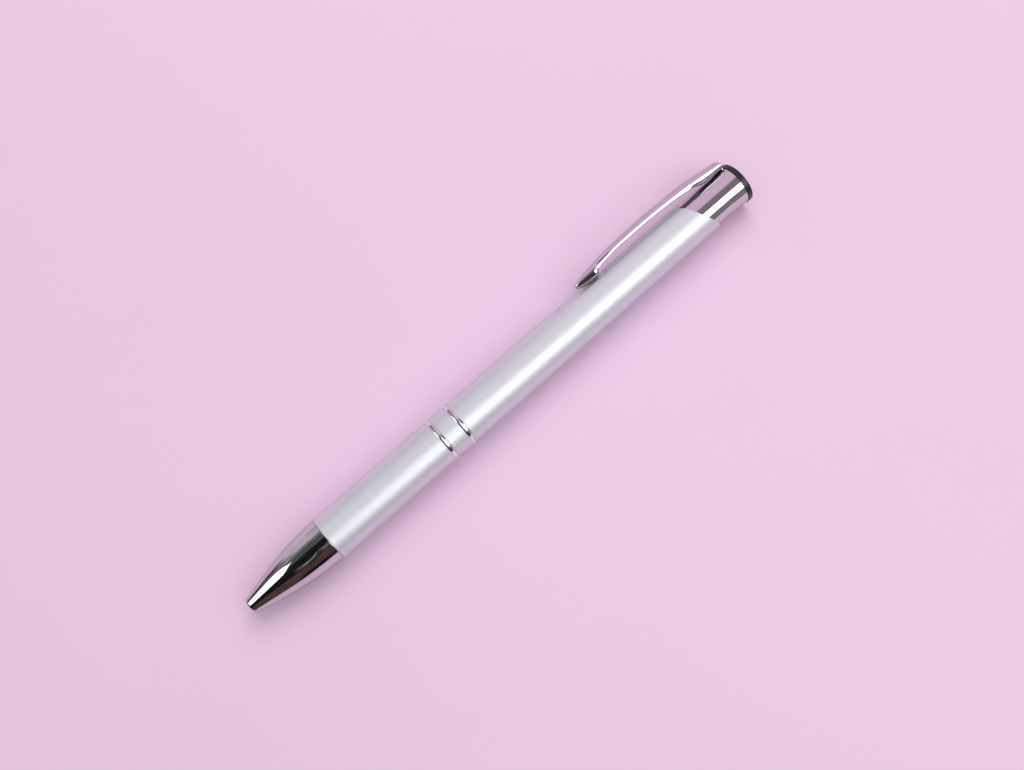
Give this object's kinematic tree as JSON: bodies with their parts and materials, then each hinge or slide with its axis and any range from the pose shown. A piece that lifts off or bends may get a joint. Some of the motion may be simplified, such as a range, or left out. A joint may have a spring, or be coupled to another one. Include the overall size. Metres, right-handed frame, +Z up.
{
  "type": "retractable ballpoint pen",
  "caption": "Slim retractable ballpoint pen with a two-part satin barrel, chrome nose, rings and clip, and a press button that moves with the clip.",
  "frame": {"origin": "bottom centre of the bounding box of the pen lying on its side", "axes": "+X along the pen from the nose to the button, +Z up from the surface it lies on, the clip on the +Y side, 26 degrees above the horizontal"},
  "size_m": [0.1404, 0.013, 0.0103],
  "materials": {
    "nose_chrome": "polished mirror chrome",
    "trim_chrome": "polished chrome rings",
    "plunger_chrome": "polished chrome",
    "clip_chrome": "polished chrome, pressed steel",
    "barrel_satin": "satin pearl silver",
    "band_satin": "satin pearl silver",
    "black_plastic": "moulded black, semi-gloss",
    "brass": "turned brass",
    "tip_brass": "fine turned",
    "ball_steel": "polished ball",
    "spring_steel": "drawn wire",
    "guide_plastic": "moulded white",
    "cam_plastic": "moulded black",
    "tube_plastic": "milky tube",
    "plug_plastic": "moulded blue",
    "ink": "blue ink"
  },
  "bodies": {
    "barrel": {"lower_barrel": "barrel_satin", "front_bushing": "brass", "front_ring": "trim_chrome", "centre_band": "band_satin", "rear_ring": "trim_chrome", "centre_coupler": "brass", "upper_barrel": "barrel_satin", "cam_guide": "guide_plastic", "return_spring": "spring_steel"},
    "nose": {"nose_cone": "nose_chrome"},
    "button": {"plunger_core": "guide_plastic", "plunger_sleeve": "plunger_chrome", "button_cap": "black_plastic"},
    "clip": {"clip": "clip_chrome"},
    "rotor": {"rotor": "cam_plastic"},
    "refill": {"refill_tip": "tip_brass", "refill_tube": "tube_plastic", "refill_ink": "ink", "refill_end_plug": "plug_plastic"},
    "ball": {"writing_ball": "ball_steel"}
  },
  "joints": [
    {"name": "button_press", "type": "slide", "parent": "barrel", "child": "button", "axis": [-1, 0, 0], "range_m": [0, 0.005], "stiffness_N_per_m": 250, "springref_m": -0.008},
    {"name": "rotor_slide", "type": "slide", "parent": "barrel", "child": "rotor", "axis": [-1, 0, 0], "range_m": [0, 0.005]},
    {"name": "refill_slide", "type": "slide", "parent": "barrel", "child": "refill", "axis": [-1, 0, 0], "range_m": [0, 0.005], "deforming": ["return_spring"]},
    {"name": "nose_pull", "type": "slide", "parent": "barrel", "child": "nose", "axis": [-1, 0, 0], "range_m": [0, 0.03]},
    {"name": "clip_flex", "type": "hinge", "parent": "button", "child": "clip", "pos_m": [0.06835, 0.00303, 0.00726], "axis": [0, 0.4384, -0.8988], "range_deg": [0, 4], "stiffness_Nm_per_rad": 0.12, "springref_deg": -1.72},
    {"name": "ball_roll", "type": "hinge", "parent": "refill", "child": "ball", "pos_m": [-0.0679, -0.0013, 0.00515], "axis": [0, 1, 0], "continuous": true}
  ],
  "couplings": [
    {"joint": "rotor_slide", "follows": "button_press", "ratio": 1},
    {"joint": "refill_slide", "follows": "button_press", "ratio": 1}
  ]
}
